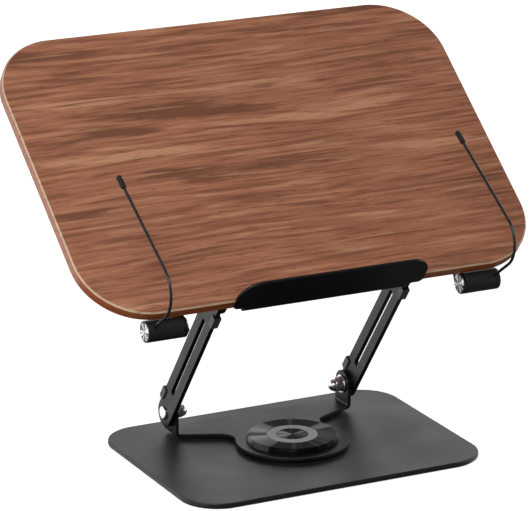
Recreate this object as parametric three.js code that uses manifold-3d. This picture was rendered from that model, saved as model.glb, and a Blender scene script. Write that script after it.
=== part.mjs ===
// A book stand: a wooden board on two folding steel arms, over a swivelling base, with two wire page holders.
// Millimetres, +Z up, +X to the reader's right, the reader at -Y. The origin is the centre of the base's underside.
import * as THREE from "three";
import { mergeVertices } from "three/addons/utils/BufferGeometryUtils.js";
import Module from "manifold-3d";

const wasm = await Module();
wasm.setup();

// ---- Driving dimensions ----

const seat = 0.3; // gap left between pieces that touch inside a turned group
const running = 0.3; // radial gap between a shaft and its hole
const past = 1; // how far a cutter runs past the face it cuts

const base = { width: 240, depth: 178, corner: 30, plate: 3.5, pad: 1, padInset: 1.5 };

const swivel = {
  slip: 1.5, // slip washer between the base and the bracket
  slipRadius: 36,
  sheet: 2.5,
  discRadius: 42,
  bend: 1.5, // inside radius of the folds
  wingSlope: 0.434, // how far the front edge of a wing comes forward for each mm towards the middle
  wingFillet: 12,
};
const hub = { radius: 34, height: 4.2, edge: 1.4, roof: 0.7, ringRadius: 19, capRadius: 11.6, inlay: 0.6 };
const kingBolt = { radius: 4, headRadius: 9, head: 1.6, washerRadius: 9, washer: 0.8, nutRadius: 7.5, nut: 2, room: 1 };

const pivot = {
  back: 56.2, // lower pivot axis behind the centre of the base
  height: 23.5, // and above the ground
  eyeRadius: 10.5, // round end of every ear
  earOuter: 73.5, // outer face of the ears, from the middle of the stand
};
const bolt = { radius: 3, headRadius: 5.4, head: 1.8, headEdge: 0.5 };
const friction = { radius: 10.3, thick: 1.35 }; // plastic washer between ear and arm
const flat = { radius: 7, thick: 1.2 };
const spring = { radius: 6, thick: 1.6 };
const nut = { across: 10, hex: 4, dome: 4.4, domeRadius: 4.7, rings: 3, blind: 2.2 };

const arm = { reach: 140, width: 21, sheet: 3.5, slotLength: 92.6, slotWidth: 3.8, leanDeg: 37 };
const bumper = { length: 11.5, fromPivot: 13, cheek: 1.2, grip: 3.8, proud: 1.9, corner: 1 };

const board = { width: 363.2, height: 249.6, thick: 9.2, corner: 50, chamfer: 1.2, tiltDeg: 38.2 };
const bracket = {
  sheet: 2,
  bend: 1.5,
  fromFront: 18.6, // upper pivot axis behind the board's front edge
  drop: 14, // upper pivot axis below the board's underside
  depth: 92,
  halfWidth: 67,
  corner: 12,
};
const lip = { height: 23, halfWidth: 76.3, topRadius: 17, footRadius: 4, foot: 5.5, gap: 1.4, bend: 2, root: 8 };
const screw = { radius: 1.75, headRadius: 3.6, crownRadius: 2.2, head: 2, crown: 1.2, bite: 6.2 };
const bracketScrews = { x: 50, near: 42, far: 80 };

const holder = {
  inner: 113.5, // inner end of a barrel, from the middle of the stand
  outer: 142,
  radius: 7.9,
  bore: 3.2,
  capRadius: 6.9,
  cap: 2.5,
  ahead: 3.6, // barrel axis ahead of the board's front edge
  below: 15.9, // and below the board's face
  ear: 1.8,
  pinRadius: 2.8,
  pinHead: 0.8,
  tabWidth: 22,
  tabNear: 5,
  tabFar: 24,
  tabCorner: 3,
  screwInset: 4.5,
  pinGap: 1,
};
const wire = {
  radius: 1.1,
  x: 137.1,
  bendRadius: 20,
  bendAt: 6.6, // centre of the bend behind the board's front edge
  bendAbove: 20, // and above the board's face
  reach: 97, // tip, from the same edge and face
  tipAbove: 30.2,
  root: 4.5, // start of the wire, from the barrel's axis
};
const sleeve = { radius: 2, length: 11, wall: 0.25, end: 1.5, nose: 0.7, grooves: 4, groove: 0.6, grooveDepth: 0.35 };

// facets of whole circles, and of each arc within an outline (an arc gets twice its number)
const round = { large: 36, medium: 18, small: 12, sleeve: 8 };
const arcs = { bend: 2, small: 3, eye: 5, corner: 4, board: 5, disc: 9, wire: 4 };
const wireSteps = 26;

// ---- Places that follow from the dimensions ----

const rad = THREE.MathUtils.degToRad;
const baseTop = base.pad + base.plate;
const bracketFloor = baseTop + swivel.slip;
const bracketTop = bracketFloor + swivel.sheet;
const earInner = pivot.earOuter - swivel.sheet;
const upperEarInner = pivot.earOuter - bracket.sheet;
const armInner = pivot.earOuter + friction.thick;
const armOuter = armInner + arm.sheet;
const lean = rad(arm.leanDeg);
const tilt = rad(board.tiltDeg);
const upperPivot = {
  y: pivot.back - arm.reach * Math.sin(lean),
  z: pivot.height + arm.reach * Math.cos(lean),
};
const pivotBelowFace = board.thick + bracket.drop;
const boardOrigin = {
  y: upperPivot.y - bracket.fromFront * Math.cos(tilt) - pivotBelowFace * Math.sin(tilt),
  z: upperPivot.z - bracket.fromFront * Math.sin(tilt) + pivotBelowFace * Math.cos(tilt),
};
const sheetTop = -board.thick - seat; // the bracket's sheet, in the board's own frame
const sheetFloor = sheetTop - bracket.sheet;

// ---- Solids ----

function solidFrom(geometry) {
  const bare = geometry.clone();
  bare.deleteAttribute("normal");
  bare.deleteAttribute("uv");
  const merged = mergeVertices(bare, 1e-4);
  return new wasm.Manifold(
    new wasm.Mesh({
      numProp: 3,
      vertProperties: merged.attributes.position.array,
      triVerts: new Uint32Array(merged.index.array),
    }),
  );
}

function geometryFrom(solid) {
  const made = solid.getMesh();
  const geometry = new THREE.BufferGeometry();
  geometry.setAttribute("position", new THREE.BufferAttribute(made.vertProperties, 3));
  geometry.setIndex(new THREE.BufferAttribute(made.triVerts, 1));
  geometry.computeVertexNormals();
  return geometry;
}

// Turns a geometry drawn along Z so that it runs along another axis: the outline's two axes become
// (y, z) along "x" and (z, x) along "y".
const turn = {
  x: new THREE.Matrix4().makeBasis(
    new THREE.Vector3(0, 1, 0),
    new THREE.Vector3(0, 0, 1),
    new THREE.Vector3(1, 0, 0),
  ),
  y: new THREE.Matrix4().makeBasis(
    new THREE.Vector3(0, 0, 1),
    new THREE.Vector3(1, 0, 0),
    new THREE.Vector3(0, 1, 0),
  ),
  z: new THREE.Matrix4(),
};

// An outline made solid between two places on an axis.
function prism(shape, axis, from, to, curveSegments = arcs.bend) {
  const geometry = new THREE.ExtrudeGeometry(shape, { depth: to - from, bevelEnabled: false, curveSegments });
  return solidFrom(geometry.translate(0, 0, from).applyMatrix4(turn[axis]));
}

// A turned piece: [radius, place] pairs along an axis that passes through the point at.
function turned(profile, axis, at = [0, 0, 0], facets = round.medium) {
  const points = profile.map(([r, z]) => new THREE.Vector2(r, z));
  const geometry = new THREE.LatheGeometry(points, facets).rotateX(Math.PI / 2);
  return solidFrom(geometry.applyMatrix4(turn[axis]).translate(...at));
}

function rod(radius, axis, from, to, at, facets = round.medium) {
  return turned([[0, from], [radius, from], [radius, to], [0, to]], axis, at, facets);
}

function ring(inner, outer, axis, from, to, at, facets = round.medium) {
  const profile = [[inner, from], [outer, from], [outer, to], [inner, to], [inner, from]];
  return turned(profile, axis, at, facets);
}

function drilled(solid, holes) {
  return holes.reduce((left, hole) => left.subtract(hole), solid);
}

// An outline from [x, y, radius] corners, each rounded by its own radius.
function outline(corners) {
  const shape = new THREE.Shape();
  corners.forEach(([x, y, radius = 0], i) => {
    const here = new THREE.Vector2(x, y);
    const last = corners.at(i - 1);
    const next = corners[(i + 1) % corners.length];
    const back = new THREE.Vector2(last[0], last[1]).sub(here);
    const ahead = new THREE.Vector2(next[0], next[1]).sub(here);
    const half = Math.acos(back.dot(ahead) / (back.length() * ahead.length())) / 2;
    const start = here.clone().addScaledVector(back.normalize(), radius / Math.tan(half));
    if (i === 0) shape.moveTo(start.x, start.y);
    else shape.lineTo(start.x, start.y);
    if (!radius) return;
    const middle = back.clone().add(ahead.normalize()).normalize();
    const centre = here.clone().addScaledVector(middle, radius / Math.sin(half));
    const end = here.clone().addScaledVector(ahead, radius / Math.tan(half));
    const clockwise = back.cross(ahead) > 0;
    const angle = (p) => Math.atan2(p.y - centre.y, p.x - centre.x);
    shape.absarc(centre.x, centre.y, radius, angle(start), angle(end), clockwise);
  });
  return shape;
}

function rectangle(halfWidth, y0, y1, radius = 0) {
  return outline([
    [-halfWidth, y0, radius],
    [halfWidth, y0, radius],
    [halfWidth, y1, radius],
    [-halfWidth, y1, radius],
  ]);
}

// The outline of an eye: a strip from the line v = foot to a round end about (u, v).
function eye(u, v, radius, foot) {
  const shape = new THREE.Shape();
  const up = v > foot;
  shape.moveTo(u - radius, foot);
  shape.lineTo(u - radius, v);
  shape.absarc(u, v, radius, Math.PI, 0, up);
  shape.lineTo(u + radius, foot);
  return shape;
}

// ---- Scene graph ----

const finish = {
  steel: new THREE.MeshStandardMaterial({ color: 0x2b2c2e, roughness: 0.6, metalness: 0.3 }),
  plate: new THREE.MeshStandardMaterial({ color: 0x3c3d3f, roughness: 0.7, metalness: 0.3 }),
  spun: new THREE.MeshStandardMaterial({ color: 0x17181a, roughness: 0.3, metalness: 0.9 }),
  ring: new THREE.MeshStandardMaterial({ color: 0x8f9092, roughness: 0.45, metalness: 0.7 }),
  chrome: new THREE.MeshStandardMaterial({ color: 0xe4e6e8, roughness: 0.12, metalness: 1 }),
  zinc: new THREE.MeshStandardMaterial({ color: 0xb9bcc0, roughness: 0.35, metalness: 0.9 }),
  plastic: new THREE.MeshStandardMaterial({ color: 0x151516, roughness: 0.5, metalness: 0 }),
  rubber: new THREE.MeshStandardMaterial({ color: 0x3f4042, roughness: 0.9, metalness: 0 }),
  wood: new THREE.MeshStandardMaterial({ color: 0x7a3f26, roughness: 0.5, metalness: 0 }),
};

function add(group, name, solid, material) {
  const mesh = new THREE.Mesh(geometryFrom(solid), material);
  mesh.name = name;
  group.add(mesh);
}

const stand = new THREE.Group();
const sides = [
  ["left", -1],
  ["right", 1],
];
const onSide = (side, solid) => (side > 0 ? solid : solid.mirror([1, 0, 0])); // every side piece is drawn at +X

// ---- Base and swivel ----

function makeBase() {
  const { width, depth, corner, padInset } = base;
  const plate = prism(rectangle(width / 2, -depth / 2, depth / 2, corner), "z", base.pad, baseTop, arcs.corner);
  const headTop = base.pad + kingBolt.head;
  const hole = rod(kingBolt.radius + running, "z", 0, baseTop + past);
  const recess = rod(kingBolt.headRadius + running, "z", 0, headTop + running);
  add(stand, "base_plate", plate.subtract(hole).subtract(recess), finish.plate);

  const inside = depth / 2 - padInset;
  const inset = rectangle(width / 2 - padInset, -inside, inside, corner - padInset);
  add(stand, "base_pad", prism(inset, "z", 0, base.pad, arcs.corner), finish.rubber);

  const nutFloor = bracketTop + kingBolt.washer;
  const nutTop = nutFloor + kingBolt.nut;
  const shank = rod(kingBolt.radius, "z", base.pad, nutTop);
  const head = rod(kingBolt.headRadius, "z", base.pad, headTop);
  add(stand, "swivel_bolt", shank.add(head), finish.zinc);

  const bore = kingBolt.radius + running;
  const slip = ring(bore, swivel.slipRadius, "z", baseTop, bracketFloor, [0, 0, 0], round.large);
  add(stand, "swivel_slip_washer", slip, finish.plastic);
  const washer = ring(bore, kingBolt.washerRadius, "z", bracketTop, nutFloor);
  add(stand, "swivel_thrust_washer", washer, finish.zinc);
  const hex = rod(kingBolt.nutRadius, "z", nutFloor, nutTop, [0, 0, 0], 6);
  add(stand, "swivel_nut", hex.subtract(rod(bore, "z", nutFloor - past, nutTop + past)), finish.zinc);
}

// The flat of the swivel bracket: a disc with a wing out to each ear.
function bracketPlan() {
  const front = pivot.back - pivot.eyeRadius;
  const back = pivot.back + pivot.eyeRadius;
  const reach = earInner - swivel.bend;
  const across = Math.atan(swivel.wingSlope);
  const along = new THREE.Vector2(Math.cos(across), Math.sin(across));
  const forward = new THREE.Vector2(along.y, -along.x);
  const edge = new THREE.Vector2(reach, front);
  // The fillet's centre lies a radius ahead of the wing's edge and a radius outside the disc.
  const offset = swivel.wingFillet + edge.dot(forward);
  const distance = Math.sqrt((swivel.discRadius + swivel.wingFillet) ** 2 - offset ** 2);
  const centre = forward.clone().multiplyScalar(offset).addScaledVector(along, distance);
  const edgeAngle = Math.atan2(-forward.y, -forward.x);
  const discAngle = Math.atan2(centre.y, centre.x);

  const shape = new THREE.Shape();
  shape.moveTo(reach, back);
  shape.lineTo(-reach, back);
  shape.lineTo(-reach, front);
  shape.absarc(-centre.x, centre.y, swivel.wingFillet, Math.PI - edgeAngle, -discAngle, true);
  shape.absarc(0, 0, swivel.discRadius, Math.PI - discAngle, 2 * Math.PI + discAngle, false);
  shape.absarc(centre.x, centre.y, swivel.wingFillet, Math.PI + discAngle, edgeAngle, true);
  shape.lineTo(reach, front);
  return shape;
}

// A folded strip: flat sheet from x = 0, then a quarter bend and a flange that ends at v = tip. The flange's
// outer face is at u = face, and it turns up or down from a sheet that lies between floor and top.
function foldedStrip(face, floor, top, bend, tip) {
  const sheet = top - floor;
  const up = tip > top;
  const centre = { u: face - sheet - bend, v: up ? top + bend : floor - bend };
  const outer = up ? floor : top;
  const inner = up ? top : floor;
  const shape = new THREE.Shape();
  // drawn as (v, u), because that is how a prism along y reads its outline
  shape.moveTo(outer, 0);
  shape.lineTo(outer, centre.u);
  shape.absarc(centre.v, centre.u, bend + sheet, up ? Math.PI : 0, Math.PI / 2, up);
  shape.lineTo(tip, face);
  shape.lineTo(tip, face - sheet);
  shape.lineTo(centre.v, face - sheet);
  shape.absarc(centre.v, centre.u, bend, Math.PI / 2, up ? Math.PI : 0, !up);
  shape.lineTo(inner, 0);
  return shape;
}

// The cutter for the holes through both ears.
function pivotHoles(y, z) {
  const end = pivot.earOuter + past;
  return rod(bolt.radius + running, "x", -end, end, [0, y, z]);
}

function makeSwivel() {
  const tip = pivot.height + pivot.eyeRadius + past;
  const front = pivot.back - pivot.eyeRadius;
  const back = pivot.back + pivot.eyeRadius;
  const fold = foldedStrip(pivot.earOuter, bracketFloor, bracketTop, swivel.bend, tip);
  const strip = prism(fold, "y", front, back);
  const side = eye(pivot.back, pivot.height, pivot.eyeRadius, 0);
  const wing = strip.intersect(prism(side, "x", 0, pivot.earOuter + past, arcs.eye));
  const plan = prism(bracketPlan(), "z", bracketFloor, bracketTop, arcs.disc);
  const holes = pivotHoles(pivot.back, pivot.height);
  const hole = rod(kingBolt.radius + running, "z", 0, bracketTop + past);
  const folded = plan.add(wing).add(wing.mirror([1, 0, 0]));
  add(stand, "swivel_bracket", folded.subtract(holes).subtract(hole), finish.steel);

  const top = bracketTop + hub.height;
  const inlayFloor = top - hub.inlay;
  const roof = inlayFloor - hub.roof;
  const cover = turned(
    [
      [kingBolt.washerRadius + kingBolt.room, bracketTop],
      [hub.radius, bracketTop],
      [hub.radius, top - hub.edge],
      [hub.radius - hub.edge, top],
      [hub.ringRadius + running, top],
      [hub.ringRadius + running, inlayFloor],
      [0, inlayFloor],
      [0, roof],
      [kingBolt.washerRadius + kingBolt.room, roof],
      [kingBolt.washerRadius + kingBolt.room, bracketTop],
    ],
    "z",
    [0, 0, 0],
    round.large,
  );
  add(stand, "swivel_hub", cover, finish.spun);
  add(stand, "hub_ring", ring(hub.capRadius + running, hub.ringRadius, "z", inlayFloor, top), finish.ring);
  add(stand, "hub_cap", rod(hub.capRadius, "z", inlayFloor, top), finish.spun);
}

// ---- Pivots: bolt, plastic friction washer, flat washer, spring washer and dome nut ----

function makePivot(label, side, earFace, y, z) {
  const at = [0, y, z];
  const put = (name, solid, material) => add(stand, label + name, onSide(side, solid), material);
  const bore = bolt.radius + running;
  const flatInner = earFace - flat.thick;
  const springInner = flatInner - spring.thick;
  const hexInner = springInner - nut.hex;
  const nutEnd = hexInner - nut.dome;

  const headTop = armOuter + bolt.head;
  const shankEnd = nutEnd + nut.blind + seat;
  const shank = rod(bolt.radius, "x", shankEnd, headTop - bolt.headEdge, at);
  const head = [
    [0, armOuter],
    [bolt.headRadius, armOuter],
    [bolt.headRadius, headTop - bolt.headEdge],
    [bolt.headRadius - bolt.headEdge, headTop],
    [0, headTop],
  ];
  put("_bolt", shank.add(turned(head, "x", at)), finish.chrome);
  put("_friction_washer", ring(bore, friction.radius, "x", pivot.earOuter, armInner, at), finish.plastic);
  put("_flat_washer", ring(bore, flat.radius, "x", flatInner, earFace, at), finish.chrome);
  put("_spring_washer", ring(bore, spring.radius, "x", springInner, flatInner, at, round.small), finish.zinc);

  const hex = rod(nut.across / Math.sqrt(3), "x", hexInner, springInner, at, 6);
  const dome = [[0, nutEnd]];
  for (let i = 1; i <= nut.rings; i++) {
    const angle = (i / nut.rings) * (Math.PI / 2);
    dome.push([nut.domeRadius * Math.sin(angle), hexInner - nut.dome * Math.cos(angle)]);
  }
  dome.push([nut.domeRadius, hexInner + past], [0, hexInner + past]);
  const blindHole = rod(bore, "x", nutEnd + nut.blind, springInner + past, at, round.small);
  put("_dome_nut", hex.add(turned(dome, "x", at, round.small)).subtract(blindHole), finish.chrome);
}

// ---- Arms ----

function makeArms() {
  const group = new THREE.Group();
  group.position.set(0, pivot.back, pivot.height);
  group.rotation.x = lean;
  stand.add(group);

  const half = arm.width / 2;
  const shape = new THREE.Shape();
  shape.absarc(0, arm.reach, half, 0, Math.PI, false);
  shape.absarc(0, 0, half, Math.PI, 2 * Math.PI, false);
  const slot = new THREE.Path();
  const slotEnd = (arm.slotLength - arm.slotWidth) / 2;
  slot.absarc(0, arm.reach / 2 + slotEnd, arm.slotWidth / 2, 0, Math.PI, false);
  slot.absarc(0, arm.reach / 2 - slotEnd, arm.slotWidth / 2, Math.PI, 2 * Math.PI, false);
  shape.holes.push(slot);

  const bore = bolt.radius + running;
  for (const [name, side] of sides) {
    const [from, to] = side > 0 ? [armInner, armOuter] : [-armOuter, -armInner];
    const blank = prism(shape, "x", from, to, arcs.eye);
    const holes = [0, arm.reach].map((z) => rod(bore, "x", from - past, to + past, [0, 0, z]));
    add(group, name + "_arm", blank.subtract(holes[0]).subtract(holes[1]), finish.steel);
    makeBumper(group, name + "_rear_bumper", from, to, 1, bumper.fromPivot);
    makeBumper(group, name + "_front_bumper", from, to, -1, arm.reach - bumper.fromPivot);
  }
}

// A rubber channel clipped over one edge of an arm: rear is 1 for the edge away from the reader.
function makeBumper(group, name, from, to, rear, middle) {
  const edge = arm.width / 2;
  const low = middle - bumper.length / 2;
  const high = middle + bumper.length / 2;
  const box = (near, far, bottom, top, radius) =>
    outline([
      [near, bottom, radius],
      [far, bottom, radius],
      [far, top, radius],
      [near, top, radius],
    ]);
  const outside = box(edge - bumper.grip, edge + bumper.proud, low, high, bumper.corner);
  const inside = box(edge - bumper.grip - past, edge + seat, low - past, high + past);
  const channel = prism(outside, "x", from - bumper.cheek, to + bumper.cheek).subtract(
    prism(inside, "x", from - seat, to + seat),
  );
  add(group, name, rear > 0 ? channel : channel.mirror([0, 1, 0]), finish.rubber);
}

// ---- Board and its bracket, in the board's own frame: x across, y up the slope, z out of the face ----

function makeBoard(group) {
  const { width, height, thick, corner, chamfer } = board;
  const flatOutline = rectangle(width / 2 - chamfer, chamfer, height - chamfer, corner - chamfer);
  const blank = new THREE.ExtrudeGeometry(flatOutline, {
    depth: thick - 2 * chamfer,
    bevelThickness: chamfer,
    bevelSize: chamfer,
    bevelSegments: 1,
    curveSegments: arcs.board,
  });
  const places = [...bracketScrewPlaces(), ...holderScrewPlaces()];
  const holes = screwHoles(places, -thick - past, screw.bite + running - thick);
  const wood = solidFrom(blank.translate(0, 0, chamfer - thick));
  add(group, "board", drilled(wood, holes), finish.wood);
}

// The cutters for screw holes at [x, y] places.
function screwHoles(places, from, to) {
  return places.map(([x, y]) => rod(screw.radius + running, "z", from, to, [x, y, 0], round.small));
}

function bracketScrewPlaces() {
  const { x, near, far } = bracketScrews;
  return [
    [-x, near],
    [x, near],
    [-x, far],
    [x, far],
  ];
}

function makeBracket(group) {
  const { sheet, bend, fromFront, halfWidth, corner, depth } = bracket;
  const pivotDepth = -pivotBelowFace;
  const plan = outline([
    [-halfWidth, -lip.gap + lip.bend, 0],
    [halfWidth, -lip.gap + lip.bend, 0],
    [halfWidth, depth, corner],
    [-halfWidth, depth, corner],
  ]);
  const flat = prism(plan, "z", sheetFloor, sheetTop, arcs.small);

  const tip = pivotDepth - pivot.eyeRadius - past;
  const fold = foldedStrip(pivot.earOuter, sheetFloor, sheetTop, bend, tip);
  const strip = prism(fold, "y", fromFront - pivot.eyeRadius, fromFront + pivot.eyeRadius);
  const side = eye(fromFront, pivotDepth, pivot.eyeRadius, 0);
  const ear = strip.intersect(prism(side, "x", 0, pivot.earOuter + past, arcs.eye));

  const front = prism(lipSection(), "x", -lip.halfWidth, lip.halfWidth);
  const face = prism(lipFace(), "y", -lip.gap - sheet - past, lip.root, arcs.corner);
  const folded = flat.add(ear).add(ear.mirror([1, 0, 0])).add(front.intersect(face));

  const holes = [
    pivotHoles(fromFront, pivotDepth),
    ...screwHoles(bracketScrewPlaces(), sheetFloor - past, sheetTop + past),
  ];
  add(group, "board_bracket", drilled(folded, holes), finish.steel);

  bracketScrewPlaces().forEach((at, i) => makeScrew(group, "bracket_screw_" + (i + 1), at, sheetFloor));
}

// The fold at the front of the bracket, seen from the side: sheet, quarter bend, then the lip standing up.
function lipSection() {
  const { sheet } = bracket;
  const shape = new THREE.Shape();
  const inner = -lip.gap;
  const centre = { y: inner + lip.bend, z: sheetTop + lip.bend };
  shape.moveTo(lip.root, sheetTop);
  shape.lineTo(centre.y, sheetTop);
  shape.absarc(centre.y, centre.z, lip.bend, -Math.PI / 2, -Math.PI, true);
  shape.lineTo(inner, lip.height);
  shape.lineTo(inner - sheet, lip.height);
  shape.lineTo(inner - sheet, centre.z);
  shape.absarc(centre.y, centre.z, lip.bend + sheet, Math.PI, 1.5 * Math.PI, false);
  shape.lineTo(lip.root, sheetFloor);
  return shape;
}

// The lip's face as (z, x), narrower below its feet, where it folds into the sheet.
function lipFace() {
  const { height, halfWidth, topRadius, footRadius, foot } = lip;
  const neck = bracket.halfWidth;
  const low = sheetFloor - past;
  return outline([
    [low, -neck],
    [low, neck],
    [-foot, neck],
    [-foot, halfWidth, footRadius],
    [height, halfWidth, topRadius],
    [height, -halfWidth, topRadius],
    [-foot, -halfWidth, footRadius],
    [-foot, -neck],
  ]);
}

// A pan-head screw driven up into the board, its head a gap below the face it holds.
function makeScrew(group, name, [x, y], face) {
  const headTop = face - seat;
  const profile = [
    [0, headTop - screw.head],
    [screw.crownRadius, headTop - screw.head],
    [screw.headRadius, headTop - screw.head + screw.crown],
    [screw.headRadius, headTop],
    [screw.radius, headTop],
    [screw.radius, screw.bite - board.thick],
    [0, screw.bite - board.thick],
  ];
  add(group, name, turned(profile, "z", [x, y, 0], round.small), finish.zinc);
}

// ---- Page holders: a barrel that turns on a pin, held by an ear under the board, with a bent wire ----

function holderScrewPlaces() {
  const x = holder.inner - holder.tabWidth / 2 - holder.ear;
  const near = holder.tabNear + holder.screwInset;
  const far = holder.tabFar - holder.screwInset;
  return [
    [-x, near],
    [-x, far],
    [x, near],
    [x, far],
  ];
}

// The ear seen from the side: round below the pin, widening back to the tab's far edge.
function earSide(top) {
  const [y, z, radius] = [-holder.ahead, -holder.below, holder.radius];
  const far = new THREE.Vector2(holder.tabFar - y, top - z);
  const touch = far.angle() - Math.acos(radius / far.length());
  const shape = new THREE.Shape();
  shape.moveTo(y - radius, top);
  shape.absarc(y, z, radius, Math.PI, 2 * Math.PI + touch, false);
  shape.lineTo(holder.tabFar, top);
  return shape;
}

function makeHolder(group, name, side) {
  const put = (part, solid, material) => add(group, name + part, onSide(side, solid), material);
  const [y, z] = [-holder.ahead, -holder.below];
  const at = [0, y, z];
  const earOuter = holder.inner - seat;
  const earInner = earOuter - holder.ear;
  const tabFloor = sheetTop - holder.ear;

  const tab = outline([
    [earInner - holder.tabWidth, holder.tabNear, holder.tabCorner],
    [earOuter, holder.tabNear],
    [earOuter, holder.tabFar],
    [earInner - holder.tabWidth, holder.tabFar, holder.tabCorner],
  ]);
  const ear = prism(earSide(sheetTop), "x", earInner, earOuter, arcs.eye);
  const places = holderScrewPlaces().filter(([x]) => x > 0);
  const holes = [
    rod(holder.pinRadius + running, "x", earInner - past, earOuter + past, at, round.small),
    ...screwHoles(places, tabFloor - past, sheetTop + past),
  ];
  const blank = ear.add(prism(tab, "z", tabFloor, sheetTop));
  put("_holder_bracket", drilled(blank, holes), finish.steel);
  places.forEach(([sx, sy], i) => makeScrew(group, name + "_holder_screw_" + (i + 1), [side * sx, sy], tabFloor));

  const pinEnd = holder.outer - holder.cap - holder.pinGap;
  const pin = turned(
    [
      [0, earInner - holder.pinHead],
      [holder.capRadius, earInner - holder.pinHead],
      [holder.capRadius, earInner],
      [holder.pinRadius, earInner],
      [holder.pinRadius, pinEnd],
      [0, pinEnd],
    ],
    "x",
    at,
  );
  put("_holder_pin", pin, finish.chrome);

  const capFloor = holder.outer - holder.cap;
  const barrel = turned(
    [
      [holder.bore, holder.inner],
      [holder.radius, holder.inner],
      [holder.radius, holder.outer],
      [holder.capRadius + seat / 2, holder.outer],
      [holder.capRadius + seat / 2, capFloor],
      [holder.bore, capFloor],
      [holder.bore, holder.inner],
    ],
    "x",
    at,
  );
  const { leave, path } = wirePath();
  const wireHole = rod(wire.radius + running, "z", 0, holder.radius + past, [0, 0, 0], round.small)
    .rotate([(leave * 180) / Math.PI - 90, 0, 0])
    .translate([wire.x, y, z]);
  put("_barrel", barrel.subtract(wireHole), finish.plastic);
  put("_barrel_cap", rod(holder.capRadius, "x", capFloor, holder.outer, at), finish.chrome);

  const section = new THREE.Shape().absarc(0, 0, wire.radius, 0, 2 * Math.PI, false);
  const along = { steps: wireSteps, extrudePath: path, curveSegments: arcs.wire };
  const bent = new THREE.ExtrudeGeometry(section, along);
  add(group, name + "_wire", solidFrom(bent).translate([side * wire.x, 0, 0]), finish.plastic);
  makeSleeve(group, name, side * wire.x, path);
}

// The wire stands out of the barrel, bends back over the board and runs straight to its tip. It lies in the
// plane x = 0; leave is the direction in which it stands out of the barrel.
function wirePath() {
  const axis = new THREE.Vector2(-holder.ahead, -holder.below);
  const centre = new THREE.Vector2(wire.bendAt, wire.bendAbove);
  const tip = new THREE.Vector2(wire.reach, wire.tipAbove);
  const reach = (from, angle, length) =>
    new THREE.Vector2(Math.cos(angle), Math.sin(angle)).multiplyScalar(length).add(from);
  const out = centre.clone().sub(axis);
  const leave = out.angle() + Math.asin(wire.bendRadius / out.length());
  const back = tip.clone().sub(centre);
  const touch = back.angle() + Math.acos(wire.bendRadius / back.length());
  const on = (angle) => reach(centre, angle, wire.bendRadius);
  const root = reach(axis, leave, wire.root);
  const lift = (p) => new THREE.Vector3(0, p.x, p.y);

  const first = leave + Math.PI / 2;
  const bend = new THREE.Curve();
  bend.getPoint = (t, target = new THREE.Vector3()) => target.copy(lift(on(first + t * (touch - first))));
  const path = new THREE.CurvePath();
  path.add(new THREE.LineCurve3(lift(root), lift(on(first))));
  path.add(bend);
  path.add(new THREE.LineCurve3(lift(on(touch)), lift(tip)));
  return { leave, path };
}

// The ribbed rubber sleeve pushed over the end of the wire.
function makeSleeve(group, name, x, path) {
  const end = path.getPoint(1);
  const heading = path.getTangent(1);
  const slope = Math.atan2(heading.z, heading.y);
  const bore = wire.radius + sleeve.wall;
  const start = sleeve.end - sleeve.length;
  const pitch = sleeve.length / (sleeve.grooves + 1);
  const floor = sleeve.radius - sleeve.grooveDepth;
  const profile = [
    [bore, start],
    [sleeve.radius, start],
  ];
  for (let i = 1; i <= sleeve.grooves; i++) {
    const at = start + i * pitch;
    profile.push([sleeve.radius, at - sleeve.groove], [floor, at - sleeve.groove / 2]);
    profile.push([floor, at + sleeve.groove / 2], [sleeve.radius, at + sleeve.groove]);
  }
  profile.push([sleeve.radius, sleeve.end - sleeve.nose], [sleeve.radius - sleeve.nose, sleeve.end]);
  profile.push([0, sleeve.end], [0, seat], [bore, seat], [bore, start]);
  const solid = turned(profile, "z", [0, 0, 0], round.sleeve)
    .rotate([(slope * 180) / Math.PI - 90, 0, 0])
    .translate([x, end.y, end.z]);
  add(group, name + "_wire_tip", solid, finish.rubber);
}

function makeReadingBoard() {
  const group = new THREE.Group();
  group.position.set(0, boardOrigin.y, boardOrigin.z);
  group.rotation.x = tilt;
  stand.add(group);
  makeBracket(group);
  makeBoard(group);
  for (const [name, side] of sides) makeHolder(group, name, side);
}

makeBase();
makeSwivel();
for (const [name, side] of sides) {
  makePivot(name + "_lower", side, earInner, pivot.back, pivot.height);
  makePivot(name + "_upper", side, upperEarInner, upperPivot.y, upperPivot.z);
}
makeArms();
makeReadingBoard();

export default stand;
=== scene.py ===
"""Looks of the folding book stand.

Every piece is drawn in millimetres in its own frame, then placed in metres."""

import math

import bmesh
import bpy
from mathutils import Matrix, Vector


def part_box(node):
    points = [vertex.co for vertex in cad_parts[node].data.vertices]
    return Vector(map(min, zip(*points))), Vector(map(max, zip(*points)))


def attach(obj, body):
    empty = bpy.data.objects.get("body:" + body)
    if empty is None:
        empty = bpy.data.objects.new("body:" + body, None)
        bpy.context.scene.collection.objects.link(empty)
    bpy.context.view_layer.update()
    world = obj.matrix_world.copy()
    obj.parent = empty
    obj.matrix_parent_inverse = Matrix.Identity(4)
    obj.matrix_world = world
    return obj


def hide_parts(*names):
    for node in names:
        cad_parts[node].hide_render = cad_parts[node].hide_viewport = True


MM = 0.001
SIDES = (("left", -1), ("right", 1))

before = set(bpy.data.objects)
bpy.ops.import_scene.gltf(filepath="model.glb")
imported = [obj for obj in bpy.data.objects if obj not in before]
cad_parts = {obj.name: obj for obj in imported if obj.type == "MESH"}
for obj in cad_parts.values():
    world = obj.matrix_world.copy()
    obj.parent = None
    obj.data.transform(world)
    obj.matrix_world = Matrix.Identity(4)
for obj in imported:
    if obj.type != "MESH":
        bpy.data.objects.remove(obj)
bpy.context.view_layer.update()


# ---- Sizes of the stand, in millimetres, as the CAD model has them ----


def low(node):
    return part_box(node)[0] / MM


def high(node):
    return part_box(node)[1] / MM


def middle(node):
    return (low(node) + high(node)) / 2


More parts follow.
